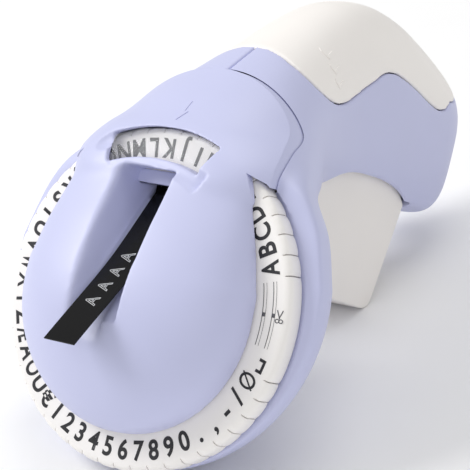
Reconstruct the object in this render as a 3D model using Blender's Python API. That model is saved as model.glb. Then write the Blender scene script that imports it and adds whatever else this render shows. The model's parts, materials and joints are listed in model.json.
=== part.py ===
"""Hand-held dial label maker, modelled as an assembly of separate pieces.

Every length below is in millimetres and in the dial frame: the origin is the centre of the dial's
printed face, +Z is the dial's spindle axis out of that face, +Y runs back towards the handle and
+X is the right-hand side. The last step turns the dial frame into the resting pose, in metres, with
+Z up: the front of the bowl and the tip of the trigger stand on the ground.
"""
import math

import bmesh
import bpy
import numpy as np
from mathutils import Matrix, Vector
from mathutils.bvhtree import BVHTree

MM = 0.001
REST_TILT = math.radians(56.5)
FOOT_DEPTH = 0.4
GAP = 0.3

# dial
DIAL_PLACES = 51
DIAL_R = 42.0
DIAL_DEPTH = 5.5
DIAL_PLATE = 2.2
SKIRT_INNER_R = 39.4
FIRST_PLACE = 9.9
CUT_ZONE = (46.0, 50.0)
NOTCH_DEPTH = 1.3
NOTCH_HALF = 0.55

# ring gears on both dial rings, and the pinion between them
GEAR_R = 30.0
GEAR_TIP = 29.4
GEAR_ROOT = 30.9
PINION_TEETH = 12
PINION_R = GEAR_R * PINION_TEETH / DIAL_PLACES
PINION_Y = -(GEAR_R - PINION_R)
DIE_R = 37.0
DIE_TOP = -8.4
DIE_BOTTOM = -9.8

# bowl, neck and handle
BOWL_R = 46.0
BOWL_Y = 4.5
LIP_Z = -4.9
WELL_R = 42.6
WELL_FLOOR = -5.8
WELL_HOLE_R = 38.8
SEAM_R = 29.3
SEAM_Y = 30.3
WALL = 2.0
TOP_CLEAR = 0.35
SPLIT = 0.15

# dome cover
DOME_R = 33.0
DOME_TOP = 19.5
LENS_R = (34.0, 41.5)
LENS_HALF_ANGLE = 22.5
CHANNEL_HALF = 6.6

# tape path
TAPE_WIDTH = 9.0
TAPE_THICK = 0.3
TAPE_Z = -7.2
TAPE_END = (-12.9, 28.9)
ROLLER = (43.0, -16.4)
ROLLER_R = 4.5
PINCH = (48.7, -11.9)
PINCH_R = 1.9
REEL = (67.2, -73.9)
REEL_R = 14.8

# trigger, press lever and door
TRIGGER_PIVOT = (34.0, -35.5)
TRIGGER_HALF = 13.6
LEVER_PIVOT = (14.0, -17.5)
DOOR_HINGE = (74.0, -107.0)
BARREL_R = 5.15

# screw places: side view (y, z) of the housing screws, plan (x, y) of the chassis screws
SCREW_POINTS = [(51.0, -37.0), (45.0, -104.0), (60.5, -108.5)]
CHASSIS_SCREWS = [(18.0, 12.0), (-18.0, 12.0), (0.0, -10.5)]

ROUND = 40

LAVENDER = (0.60, 0.62, 0.83)
CREAM = (0.90, 0.86, 0.81)
CHARCOAL = (0.03, 0.03, 0.035)
GREY = (0.35, 0.36, 0.38)
STEEL = (0.62, 0.62, 0.64)
RUBBER = (0.05, 0.05, 0.05)
CLEAR = (0.92, 0.95, 0.97)

for leftover in list(bpy.data.objects):
    bpy.data.objects.remove(leftover, do_unlink=True)


# ---------------------------------------------------------------- materials
def plastic(name, colour, roughness, metallic=0.0):
    material = bpy.data.materials.new(name)
    material.use_nodes = True
    shader = material.node_tree.nodes["Principled BSDF"]
    shader.inputs["Base Color"].default_value = (*colour, 1.0)
    shader.inputs["Roughness"].default_value = roughness
    shader.inputs["Metallic"].default_value = metallic
    return material


LAVENDER_SHELL = plastic("lavender_shell", LAVENDER, 0.38)
CREAM_SHELL = plastic("cream_shell", CREAM, 0.40)
BLACK_TAPE = plastic("black_tape", CHARCOAL, 0.20)
GREY_PLASTIC = plastic("grey_plastic", GREY, 0.50)
STEEL_PART = plastic("steel_part", STEEL, 0.30, 1.0)
RUBBER_PART = plastic("rubber_part", RUBBER, 0.80)
CLEAR_LENS = plastic("clear_lens", CLEAR, 0.05)


# ---------------------------------------------------------------- mesh tools
def mesh_object(name, points, faces):
    mesh = bpy.data.meshes.new(name)
    mesh.from_pydata([tuple(p) for p in points], [], faces)
    shape = bmesh.new()
    shape.from_mesh(mesh)
    bmesh.ops.remove_doubles(shape, verts=shape.verts, dist=0.001)
    bmesh.ops.recalc_face_normals(shape, faces=shape.faces)
    shape.to_mesh(mesh)
    shape.free()
    body = bpy.data.objects.new(name, mesh)
    bpy.context.scene.collection.objects.link(body)
    return body


def loft(name, rings):
    """A closed skin over rings of equal length, with a flat cap at each end."""
    count = len(rings[0])
    points = [point for ring in rings for point in ring]
    faces = []
    for row in range(len(rings) - 1):
        for k in range(count):
            n = (k + 1) % count
            a = row * count
            b = a + count
            faces.append((a + k, a + n, b + n, b + k))
    faces.append(tuple(range(count)))
    faces.append(tuple(range(len(points) - count, len(points))))
    return mesh_object(name, points, faces)


def slab_x(name, outline, x_low, x_high):
    """A (y, z) outline extruded along X."""
    return loft(name, [[(x, y, z) for y, z in outline] for x in (x_low, x_high)])


def slab_z(name, outline, z_low, z_high):
    """An (x, y) outline extruded along Z."""
    return loft(name, [[(x, y, z) for x, y in outline] for z in (z_low, z_high)])


def circle(centre, radius, steps=ROUND, start=0.0, sweep=2 * math.pi):
    count = steps if abs(sweep - 2 * math.pi) < 1e-6 else steps + 1
    turns = [start + sweep * k / steps for k in range(count)]
    return [(centre[0] + radius * math.cos(t), centre[1] + radius * math.sin(t)) for t in turns]


def turned(name, profile, steps=ROUND, axis="Z", centre=(0.0, 0.0, 0.0)):
    """A closed (radius, height) profile spun about an axis through the centre."""
    rings = []
    for k in range(steps):
        t = 2 * math.pi * k / steps
        ring = []
        for radius, height in profile:
            u = radius * math.cos(t)
            v = radius * math.sin(t)
            local = (u, v, height) if axis == "Z" else (height, u, v)
            ring.append(tuple(c + d for c, d in zip(centre, local)))
        rings.append(ring)
    count = len(profile)
    points = [p for ring in rings for p in ring]
    faces = []
    for row in range(steps):
        a = row * count
        b = ((row + 1) % steps) * count
        for k in range(count):
            n = (k + 1) % count
            if profile[k][0] > 0.0 or profile[n][0] > 0.0:
                faces.append((a + k, a + n, b + n, b + k))
    body = mesh_object(name, points, faces)
    shape = bmesh.new()
    shape.from_mesh(body.data)
    bmesh.ops.dissolve_degenerate(shape, dist=0.0005, edges=shape.edges)
    bmesh.ops.recalc_face_normals(shape, faces=shape.faces)
    shape.to_mesh(body.data)
    shape.free()
    return body


def rod_x(name, y, z, radius, x_low, x_high, steps=24):
    return slab_x(name, circle((y, z), radius, steps), x_low, x_high)


def rod_z(name, x, y, radius, z_low, z_high, steps=24):
    return slab_z(name, circle((x, y), radius, steps), z_low, z_high)


def tube(name, profile_inner, profile_outer, low, high, axis, centre, steps=32):
    profile = [(profile_inner, low), (profile_outer, low), (profile_outer, high), (profile_inner, high)]
    return turned(name, profile, steps, axis, centre)


def combine(target, tool, operation):
    """Apply one exact Boolean to the target and discard the tool."""
    step = target.modifiers.new("step", "BOOLEAN")
    step.operation = operation
    step.solver = "EXACT"
    step.object = tool
    view = bpy.context.evaluated_depsgraph_get()
    result = bpy.data.meshes.new_from_object(target.evaluated_get(view))
    target.modifiers.clear()
    target.data = result
    bpy.data.objects.remove(tool, do_unlink=True)
    return target


def cut(target, *tools):
    for tool in tools:
        combine(target, tool, "DIFFERENCE")
    return target


def join(target, *tools):
    for tool in tools:
        combine(target, tool, "UNION")
    return target


def keep(target, tool):
    return combine(target, tool, "INTERSECT")


def copy_of(body, name):
    twin = body.copy()
    twin.data = body.data.copy()
    twin.name = name
    bpy.context.scene.collection.objects.link(twin)
    return twin


def smooth_values(table, samples):
    """Catmull-Rom values between the rows of a table, `samples` steps per row."""
    rows = np.array(table, float)
    padded = np.vstack([2 * rows[0] - rows[1], rows, 2 * rows[-1] - rows[-2]])
    out = []
    for k in range(1, len(rows)):
        p0, p1, p2, p3 = padded[k - 1:k + 3]
        for s in range(samples):
            t = s / samples
            out.append(0.5 * ((2 * p1) + (p2 - p0) * t + (2 * p0 - 5 * p1 + 4 * p2 - p3) * t * t
                              + (3 * p1 - p0 - 3 * p2 + p3) * t ** 3))
    out.append(rows[-1])
    return out


def curve_value(table, where):
    """A smooth value read from (position, value) pairs."""
    fine = smooth_values(table, 8)
    return float(np.interp(where, [p[0] for p in fine], [p[1] for p in fine]))


# ---------------------------------------------------------------- outer form
# neck and handle sections: top (y, z), bottom (y, z), half width, height of the widest point
# (0 bottom, 1 top), roundness of the upper and of the lower half
NECK_SECTIONS = [
    (24.0, -4.9, 20.0, -27.0, 41.2, 0.84, 5.0, 2.4),
    (36.5, -2.0, 26.5, -30.5, 34.2, 0.70, 2.2, 2.4),
    (47.0, -3.6, 30.5, -34.5, 29.5, 0.50, 2.0, 2.6),
    (56.0, -12.8, 33.5, -40.0, 25.0, 0.50, 2.1, 2.8),
    (64.0, -22.8, 35.0, -46.5, 21.5, 0.50, 2.1, 3.4),
    (71.5, -33.2, 35.8, -53.0, 19.2, 0.50, 2.1, 4.5),
    (79.3, -44.8, 36.0, -60.0, 17.9, 0.50, 2.2, 6.0),
    (85.3, -56.8, 36.0, -67.5, 17.4, 0.50, 2.3, 6.0),
    (88.0, -69.0, 36.0, -76.0, 17.2, 0.50, 2.4, 6.0),
    (87.2, -81.0, 36.0, -84.5, 17.1, 0.50, 2.5, 6.0),
    (84.3, -92.0, 36.0, -92.5, 17.0, 0.50, 2.6, 6.0),
    (80.6, -102.5, 36.0, -100.5, 17.0, 0.50, 2.7, 6.0),
    (77.0, -110.5, 36.0, -106.5, 16.6, 0.50, 2.8, 5.0),
    (73.5, -115.3, 37.3, -111.5, 15.2, 0.50, 2.8, 4.0),
    (68.5, -118.0, 42.0, -115.2, 11.8, 0.50, 2.6, 3.0),
    (61.0, -118.9, 49.5, -117.0, 5.5, 0.50, 2.2, 2.2),
]


def bowl_sections(count):
    rows = []
    for k in range(count):
        phi = math.radians(6.0 + (97.0 - 6.0) * k / (count - 1))
        y = BOWL_Y - BOWL_R * math.cos(phi)
        depth = 4.0 + 17.0 * math.sin(phi)
        rows.append((y, LIP_Z, y, LIP_Z - depth, BOWL_R * math.sin(phi), 0.86, 6.0, 2.3))
    return rows


def section_ring(row, inset, steps):
    top_y, top_z, low_y, low_z, half, widest, upper, lower = row
    top = Vector((0.0, top_y, top_z))
    low = Vector((0.0, low_y, low_z))
    up = (top - low).normalized()
    top = top - up * inset
    low = low + up * inset
    height = (top - low).length
    half = half - inset
    ring = []
    for k in range(steps):
        t = 2 * math.pi * k / steps
        c = math.cos(t)
        s = math.sin(t)
        power = upper if s >= 0 else lower
        reach = (1.0 - widest) if s >= 0 else widest
        across = half * math.copysign(abs(c) ** (2.0 / power), c)
        level = widest + reach * math.copysign(abs(s) ** (2.0 / power), s)
        point = low + up * (height * level)
        ring.append((across, point.y, point.z))
    return ring


def outer_form(name, inset, samples, bowl_count, steps):
    """The closed outer form of bowl, neck and handle, drawn in by `inset`."""
    front = bowl_sections(bowl_count)
    neck = smooth_values([front[-1]] + NECK_SECTIONS, samples)
    rows = front[:-1] + [tuple(r) for r in neck]
    if inset > 0:
        rows = [r for r in rows if r[4] > inset + 3.5 and r[0] > front[0][0] + inset]
        rows = [r for r in rows if not (r[1] < -100.0 and r[4] < 12.0)]
    return loft(name, [section_ring(r, inset, steps) for r in rows])


def surface_height(tree, x, y):
    hit = tree.ray_cast(Vector((x, y, 60.0)), Vector((0.0, 0.0, -1.0)))
    return hit[0].z


# ---------------------------------------------------------------- dome cover form
RIDGE = [(-33.0, 15.5), (-20.0, 18.4), (-6.0, DOME_TOP), (4.0, 18.4), (15.0, 14.6), (24.0, 10.6),
         (31.0, 7.6), (38.0, 3.9)]
DOME_WIDTH = [(6.0, 32.6), (15.0, 30.6), (25.0, 27.4), (33.5, 24.2), (36.0, 20.5), (39.2, 14.0)]
CREST = [(30.4, 8.0), (34.0, 6.6), (38.0, 4.4), (41.8, 1.6), (44.3, -0.9), (49.3, -5.6), (54.4, -11.2),
         (59.7, -17.4)]


def dome_form(name, inset, base, rows, steps):
    """The dome: rounded cross sections whose ridge falls away towards the neck."""
    rings = []
    front = DOME_R - inset
    for k in range(rows):
        t = k / (rows - 1)
        if t < 0.5:
            phi = math.radians(4.0) + t / 0.5 * math.radians(88.0)
            y = -front * math.cos(phi)
            half = front * math.sin(phi)
            ridge = curve_value(RIDGE, y) - inset
            rise = math.sin(phi) ** 0.62
        else:
            y = (t - 0.5) / 0.5 * (38.0 - inset) + 1.2
            half = min(curve_value(DOME_WIDTH, y) if y > 6.0 else DOME_R, DOME_R) - inset
            ridge = curve_value(RIDGE, min(y, 38.0)) - inset
            rise = 1.0
        top = base + (ridge - base) * rise
        power = float(np.interp(y, [16.0, 34.0], [0.92, 1.04]))
        ring = []
        for j in range(steps + 1):
            a = math.pi * j / steps
            c = math.cos(a)
            across = half * math.copysign(abs(c) ** power, c)
            ring.append((across, y, base + (top - base) * abs(math.sin(a)) ** power))
        rings.append(ring)
    return loft(name, rings)


def neck_form(name, tree, inset, spread, depth, lift, rows, steps):
    """The neck's top cover inside the round seam, flush with the outer form along the seam."""
    rings = []
    radius = SEAM_R + spread - inset
    first = 2.0 - 4.0 * spread
    for k in range(rows):
        phi = math.radians(first + (89.0 - first) * k / (rows - 1))
        y = SEAM_Y + radius * math.sin(phi)
        half = radius * math.cos(phi)
        real_y = SEAM_Y + SEAM_R * math.sin(phi)
        real_half = SEAM_R * math.cos(phi)
        edge = surface_height(tree, real_half, real_y)
        crest = max(curve_value(CREST, real_y), edge) + lift - inset
        power = float(np.interp(real_y, [30.0, 36.0, 43.0, 52.0, 58.0], [4.4, 3.9, 2.9, 2.7, 2.2]))
        ring = []
        for j in range(steps + 1):
            u = 2.0 * j / steps - 1.0
            across = half * math.copysign(1.0 - (1.0 - abs(u)) ** 1.6, u)
            drop = (crest - (edge + lift - inset)) * abs(across / half) ** power
            ring.append((across, y, crest - drop))
        base = edge - depth
        ring.append((half, y, base))
        ring.append((-half, y, base))
        rings.append(ring)
    return loft(name, rings)


# ---------------------------------------------------------------- shared outlines
def ring_places(radius_low, radius_high, teeth_at, half_low, half_high, count=DIAL_PLACES):
    """Outline of a ring of teeth: radii and half widths at the tooth's foot and tip."""
    outline = []
    for k in range(count):
        centre = teeth_at + 2 * math.pi * k / count
        for radius, offset in ((radius_low, -half_low), (radius_high, -half_high),
                               (radius_high, half_high), (radius_low, half_low)):
            t = centre + offset / radius
            outline.append((radius * math.cos(t), radius * math.sin(t)))
    return outline


def notched_rim():
    """The dial's rim, with a notch between each pair of places outside the cutting zone."""
    step = 2 * math.pi / DIAL_PLACES
    outline = []
    for k in range(DIAL_PLACES):
        centre = math.pi / 2 + (k + 0.5 - FIRST_PLACE) * step
        half = NOTCH_HALF / DIAL_R
        if CUT_ZONE[0] < k + 0.5 < CUT_ZONE[1]:
            offsets = ((DIAL_R, 0.0), (DIAL_R, step / 2))
        else:
            offsets = ((DIAL_R, -half), (DIAL_R - NOTCH_DEPTH, -half), (DIAL_R - NOTCH_DEPTH, half),
                       (DIAL_R, half), (DIAL_R, step / 2))
        for radius, offset in offsets:
            t = centre + offset
            outline.append((radius * math.cos(t), radius * math.sin(t)))
    return outline


def annulus(name, outline, hole, z_low, z_high):
    body = slab_z(name, outline, z_low, z_high)
    return cut(body, slab_z("hole", hole, z_low - 1.0, z_high + 1.0))


def arch_outline(grow):
    """Side view of the arch in the handle's walls, above the trigger."""
    centre_y = 30.0
    centre_z = -69.5
    rise = 12.3 + grow
    half = 26.5 + grow
    points = []
    for k in range(25):
        t = math.pi * k / 24
        c = math.cos(t)
        y = centre_y + rise * math.sin(t) ** 0.8
        points.append((y, centre_z + half * math.copysign(abs(c) ** 0.8, c)))
    points.append((0.0, centre_z - half))
    points.append((0.0, centre_z + half))
    return points


# side view of the door's lower edge, from the front of the saddle to the hinge barrel
DOOR_EDGE = [(70.5, -27.0), (67.6, -27.9), (64.6, -28.0), (61.8, -29.6), (59.2, -32.8), (57.5, -37.5),
             (57.3, -42.5), (58.7, -47.5), (62.4, -54.0), (66.6, -61.0), (69.4, -66.0), (70.3, -70.0),
             (70.2, -74.5), (68.4, -83.5), (66.2, -92.0), (65.2, -98.0), (66.0, -102.5)]


def door_outline(shrink):
    """Side view of the region that belongs to the door; shrink > 0 draws its edge in."""
    edge = [tuple(p) for p in smooth_values(DOOR_EDGE, 2)]
    moved = []
    for k, (y, z) in enumerate(edge):
        before = edge[max(k - 1, 0)]
        after = edge[min(k + 1, len(edge) - 1)]
        ty = after[0] - before[0]
        tz = after[1] - before[1]
        size = math.hypot(ty, tz)
        moved.append((y - tz / size * shrink, z + ty / size * shrink))
    radius = BARREL_R - shrink
    barrel = circle(DOOR_HINGE, radius, 12, math.radians(170.0), math.radians(168.0))
    return moved + barrel + [(95.0, -110.0), (100.0, -60.0), (95.0, -20.0), (75.0, -20.0)]


# ---------------------------------------------------------------- housings
def foot_outline(lowest):
    """Side view of the slice that gives the bowl a small flat foot parallel to the ground."""
    sine = math.sin(REST_TILT)
    cosine = math.cos(REST_TILT)
    outline = []
    for level, along in ((lowest + FOOT_DEPTH, -90.0), (lowest + FOOT_DEPTH, 60.0), (lowest - 20.0, 60.0),
                         (lowest - 20.0, -90.0)):
        outline.append((level * sine + along * cosine, level * cosine - along * sine))
    return outline


def housing_shell():
    shell = outer_form("shell", 0.0, 2, 10, 28)
    tree_source = BVHTree.FromObject(shell, bpy.context.evaluated_depsgraph_get())
    sine, cosine = math.sin(REST_TILT), math.cos(REST_TILT)
    foot_level = min(v.co.y * sine + v.co.z * cosine for v in shell.data.vertices)
    hollow = outer_form("hollow", WALL, 1, 8, 20)
    cut(shell, hollow)
    cut(shell, slab_z("well", circle((0.0, 0.0), WELL_R, 72), WELL_FLOOR, 30.0))
    cut(shell, slab_z("floor_hole", circle((0.0, 0.0), WELL_HOLE_R, 60), -7.9, 0.0))
    cut(shell, neck_form("neck_opening", tree_source, 0.0, GAP, 4.6, 12.0, 12, 10))
    cut(shell, slab_x("door_opening", door_outline(-0.15), -30.0, 30.0))
    cut(shell, slab_x("arch", arch_outline(0.0), -30.0, 30.0))
    slot = [(14.0, -33.0), (30.0, -29.5), (40.0, -33.0), (40.0, -50.0), (14.0, -50.0)]
    room = [(30.0, -60.0), (44.0, -60.0), (44.0, -96.0), (30.0, -96.0)]
    for name, outline in (("trigger_slot", slot), ("trigger_room", room)):
        cut(shell, slab_x(name, outline, -TRIGGER_HALF - 0.7, TRIGGER_HALF + 0.7))
    cut(shell, slab_x("foot", foot_outline(foot_level), -60.0, 60.0))
    return shell, tree_source


def housing_half(shell, side, name):
    """One half of the shell with its pin bosses; side is -1 for left and +1 for right."""
    half = copy_of(shell, name)
    near = SPLIT if side > 0 else -120.0
    far = 120.0 if side > 0 else -SPLIT
    box = [(-60.0, -140.0), (110.0, -140.0), (110.0, 60.0), (-60.0, 60.0)]
    keep(half, slab_x("half_space", box, near, far))
    for name_part, (y, z), radius, inner, outer in (
            ("trigger_boss", TRIGGER_PIVOT, 3.0, 14.2, 17.4),
            ("screw_boss_1", SCREW_POINTS[0], 3.2, SPLIT, 19.8),
            ("screw_boss_2", SCREW_POINTS[1], 3.2, SPLIT, 15.6),
            ("screw_boss_3", SCREW_POINTS[2], 3.2, SPLIT, 15.0)):
        low, high = sorted((side * inner, side * outer))
        join(half, rod_x(name_part, y, z, radius, low, high, 20))
    web = [(74.5, -105.1), (69.5, -101.8), (64.0, -102.5), (61.5, -108.0), (61.5, -115.8), (64.5, -115.8),
           (66.3, -112.5), (68.0, -109.0), (68.2, -106.2), (69.8, -104.0), (72.3, -105.9)]
    low, high = sorted((side * 6.0, side * 8.2))
    join(half, slab_x("hinge_web", web, low, high), rod_x("hinge_hub", *DOOR_HINGE, 2.0, low, high, 20))
    for (y, z), radius, deep in ((TRIGGER_PIVOT, 1.8, 16.4), (DOOR_HINGE, 1.2, 9.4)):
        low, high = sorted((side * 5.0, side * deep))
        cut(half, rod_x("pin_hole", y, z, radius, low, high, 20))
    for y, z in SCREW_POINTS:
        if side < 0:
            cut(half, rod_x("screw_way", y, z, 1.55, -40.0, 0.0, 16))
            cut(half, rod_x("head_way", y, z, 2.75, -40.0, -11.5, 20))
        else:
            cut(half, rod_x("screw_way", y, z, 1.35, 0.0, 9.5, 16))
    return half


# ---------------------------------------------------------------- dome cover and lens
def channel_outline(drop):
    """Side view of the tape channel, its floor lowered by `drop`."""
    return [(31.2, -14.0), (31.2, 40.0), (-15.0, 40.0), (-15.5, 19.2 - drop), (-8.0, 16.6 - drop),
            (4.0, 10.4 - drop), (14.0, 3.9 - drop), (24.0, -2.8 - drop), (24.0, -14.0)]


def dome_cover(tree):
    cover = dome_form("dome_cover", 0.0, TOP_CLEAR, 21, 20)
    join(cover, neck_form("neck_top", tree, 0.0, 0.0, 3.4, 0.0, 12, 12))
    block = [(24.0, -4.6), (24.0, 30.0), (-16.0, 30.0), (-16.0, 16.0), (-8.0, 14.8), (4.0, 8.6),
             (14.0, 2.1)]
    trough = slab_x("trough", block, -CHANNEL_HALF - 1.7, CHANNEL_HALF + 1.7)
    keep(trough, copy_of(cover, "cover_limit"))
    cut(cover, dome_form("dome_inside", 1.9, TOP_CLEAR - 3.0, 15, 14))
    cut(cover, neck_form("neck_inside", tree, 1.3, 0.0, 12.0, 0.0, 12, 10))
    join(cover, trough)
    cut(cover, slab_x("channel", channel_outline(0.0), -CHANNEL_HALF, CHANNEL_HALF))
    cut(cover, slab_z("dial_room", circle((0.0, 0.0), WELL_R, 64), -12.0, TOP_CLEAR))
    window = sector_outline(LENS_R[0] - 0.3, LENS_R[1] + 0.3, LENS_HALF_ANGLE + 0.5)
    cut(cover, slab_z("window", window, -3.0, 40.0))
    return cover


def sector_outline(inner, outer, half_angle, steps=14):
    start = math.radians(90.0 - half_angle)
    sweep = math.radians(2 * half_angle)
    outside = circle((0.0, 0.0), outer, steps, start, sweep)
    inside = circle((0.0, 0.0), inner, steps, start, sweep)
    return outside + inside[::-1]


def window_lens():
    """A clear bar bent round the dial, crowned across its width."""
    rings = []
    steps = 14
    middle = (LENS_R[0] + LENS_R[1]) / 2
    half = (LENS_R[1] - LENS_R[0]) / 2
    for k in range(steps + 1):
        t = math.radians(90.0 - LENS_HALF_ANGLE + 2 * LENS_HALF_ANGLE * k / steps)
        ring = []
        for j in range(9):
            a = math.pi * j / 8
            radius = middle + half * math.cos(a)
            ring.append((radius, 2.2 + 2.4 * math.sin(a) - 0.14 * (radius - middle)))
        ring.append((middle - half, 0.6))
        ring.append((middle + half, 0.6))
        rings.append([(r * math.cos(t), r * math.sin(t), z) for r, z in ring])
    return loft("window_lens", rings)


# ---------------------------------------------------------------- dial rings and pinion
def letter_wheel():
    ring_gear = ring_places(GEAR_ROOT, GEAR_TIP, -math.pi / 2 + math.pi / DIAL_PLACES, 1.15, 0.42)
    wheel = annulus("letter_wheel", notched_rim(), ring_gear, -DIAL_DEPTH, 0.0)
    under = slab_z("under", circle((0.0, 0.0), SKIRT_INNER_R, 51), -DIAL_DEPTH - 1.0, -DIAL_PLATE)
    return cut(wheel, under)


def die_wheel():
    ring_gear = ring_places(GEAR_ROOT, GEAR_TIP, -math.pi / 2 + math.pi / DIAL_PLACES, 1.15, 0.42)
    slots = ring_places(33.4, DIE_R, math.pi / 2, 1.5, 1.95)
    wheel = annulus("die_wheel", slots, ring_gear, DIE_BOTTOM, DIE_TOP)
    return wheel


def sync_pinion():
    outline = ring_places(6.1, 7.66, -math.pi / 2, 1.05, 0.40, PINION_TEETH)
    outline = [(x, y + PINION_Y) for x, y in outline]
    return annulus("sync_pinion", outline, circle((0.0, PINION_Y), 1.9, 16), DIE_BOTTOM, -0.5)


# ---------------------------------------------------------------- chassis and tape guide
def chassis_plate():
    plate = slab_z("chassis_plate", circle((0.0, 0.0), 35.4, 56), -11.9, -10.1)
    join(plate, rod_z("hub", 0.0, 0.0, 5.0, -11.0, -1.0, 24))
    join(plate, rod_z("pinion_post", 0.0, PINION_Y, 1.6, -11.0, -0.8, 16))
    for x, y in CHASSIS_SCREWS:
        join(plate, rod_z("leg", x, y, 3.4, -21.0, -11.0, 20))
        cut(plate, rod_z("screw_way", x, y, 1.5, -20.0, 0.0, 16))
    cut(plate, slab_z("press_window", [(-7.5, 31.0), (7.5, 31.0), (7.5, 45.0), (-7.5, 45.0)], -15.0, -5.0))
    bracket = [(26.0, -10.5), (26.0, -13.5), (35.0, -14.5), (40.5, -18.6), (43.5, -19.0), (46.0, -17.6),
               (50.0, -13.2), (50.1, -12.0), (49.5, -11.0), (48.5, -10.5), (47.2, -11.0), (43.8, -12.8),
               (38.0, -10.5)]
    lug = [(11.0, -11.0), (11.0, -19.0), (12.5, -20.2), (15.5, -20.2), (17.0, -19.0), (17.0, -11.0)]
    for side in (-1, 1):
        join(plate, slab_x("bracket", bracket, *sorted((side * 8.7, side * 10.4))))
        join(plate, slab_x("lug", lug, *sorted((side * 5.7, side * 8.4))))
    cut(plate, rod_x("feed_way", *ROLLER, 1.3, -20.0, 20.0, 16))
    cut(plate, rod_x("pinch_way", *PINCH, 1.1, -20.0, 20.0, 16))
    return cut(plate, rod_x("lever_way", *LEVER_PIVOT, 1.55, -20.0, 20.0, 16))


def tape_guide():
    ramp = [(28.3, -9.7), (28.3, -8.0), (30.8, -8.0), (30.8, -7.6), (28.4, -6.5), (22.0, -1.2),
            (19.5, -1.2), (14.0, -9.7)]
    return slab_x("tape_guide", ramp, -4.9, 4.9)


# ---------------------------------------------------------------- tape
def tape_path():
    contact = math.radians(60.0)
    reach = ROLLER_R + 0.45
    over = [(ROLLER[0] + reach * math.sin(t), ROLLER[1] + reach * math.cos(t))
            for t in np.linspace(contact, 0.0, 6)]
    heading = (math.cos(contact), -math.sin(contact))
    off = (math.sin(contact), math.cos(contact))
    span = (REEL[0] - over[0][0]) * heading[0] + (REEL[1] - over[0][1]) * heading[1]
    start = (over[0][0] + heading[0] * span, over[0][1] + heading[1] * span)
    rise = (TAPE_END[1] + 5.2) / (28.2 - TAPE_END[0])
    flat = [(38.5, TAPE_Z - 1.0), (35.0, TAPE_Z), (31.4, TAPE_Z + 0.1), (29.6, TAPE_Z + 1.0)]
    free = [(y, -5.2 + rise * (28.2 - y)) for y in (27.5, 20.0, 8.0, TAPE_END[0])]
    gap = (off[0] * (start[0] - REEL[0]) + off[1] * (start[1] - REEL[1])) - REEL_R
    return [start] + over + flat + free, gap


def ribbon(name, path, thick, half):
    upper = []
    lower = []
    for k, (y, z) in enumerate(path):
        before = path[max(k - 1, 0)]
        after = path[min(k + 1, len(path) - 1)]
        ty = after[0] - before[0]
        tz = after[1] - before[1]
        size = math.hypot(ty, tz)
        upper.append((y - tz / size * thick / 2, z + ty / size * thick / 2))
        lower.append((y + tz / size * thick / 2, z - ty / size * thick / 2))
    return slab_x(name, upper + lower[::-1], -half, half)


# ---------------------------------------------------------------- trigger and press lever
TRIGGER_TOP = [(27.0, -33.6), (30.0, -31.9), (35.0, -31.7), (37.8, -34.5), (38.8, -40.0), (40.0, -46.0),
               (43.5, -55.0), (45.4, -67.0), (44.8, -80.0), (41.5, -90.0), (37.2, -94.0)]
TRIGGER_LOW = [(10.2, -86.2), (8.0, -84.9), (6.9, -82.0), (7.2, -77.0), (8.2, -64.0), (11.5, -53.0),
               (17.5, -44.0), (24.0, -37.5)]


def trigger():
    outline = TRIGGER_TOP + TRIGGER_LOW
    body = slab_x("trigger", outline, -TRIGGER_HALF, TRIGGER_HALF)
    edges = body.modifiers.new("edges", "BEVEL")
    edges.width = 2.2
    edges.segments = 3
    edges.limit_method = "ANGLE"
    edges.angle_limit = math.radians(60.0)
    view = bpy.context.evaluated_depsgraph_get()
    rounded = bpy.data.meshes.new_from_object(body.evaluated_get(view))
    body.modifiers.clear()
    body.data = rounded
    hollow = [(60.0, -44.0), (60.0, -95.0), (38.0, -91.4), (12.0, -83.6), (9.8, -81.0), (10.6, -66.0),
              (14.0, -55.5), (20.0, -46.5), (26.0, -41.5), (33.0, -42.0)]
    cut(body, slab_x("hollow", hollow, -11.6, 11.6))
    fork = [(60.0, -28.0), (60.0, -45.0), (25.0, -43.0), (22.0, -28.0)]
    cut(body, slab_x("fork_left", fork, -11.6, -3.8), slab_x("fork_right", fork, 3.8, 11.6))
    arm = [(30.0, -34.0), (34.4, -20.9), (38.2, -21.3), (38.0, -36.0), (34.0, -40.5), (28.0, -40.5)]
    join(body, slab_x("press_arm", arm, -3.6, 3.6))
    cut(body, rod_x("pin_hole", TRIGGER_PIVOT[0], TRIGGER_PIVOT[1], 1.8, -20.0, 20.0, 24))
    return body


def press_lever():
    bar = [(10.6, -15.2), (11.0, -19.4), (14.0, -20.6), (37.4, -20.1), (37.4, -13.3), (32.8, -13.3),
           (31.6, -15.2)]
    lever = slab_x("press_lever", bar, -5.2, 5.2)
    return cut(lever, rod_x("pin_hole", LEVER_PIVOT[0], LEVER_PIVOT[1], 1.55, -10.0, 10.0, 20))


def coil(name, centre, radius, wire, turns, x_low, x_high, sides=6, per_turn=14):
    rings = []
    count = int(turns * per_turn)
    for k in range(count + 1):
        t = 2 * math.pi * k / per_turn
        mid = Vector((x_low + (x_high - x_low) * k / count, centre[0] + radius * math.cos(t),
                      centre[1] + radius * math.sin(t)))
        out = Vector((0.0, math.cos(t), math.sin(t)))
        along = Vector((1.0, 0.0, 0.0))
        ring = []
        for j in range(sides):
            a = 2 * math.pi * j / sides
            ring.append(tuple(mid + (out * math.cos(a) + along * math.sin(a)) * wire / 2))
        rings.append(ring)
    return loft(name, rings)


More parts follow.
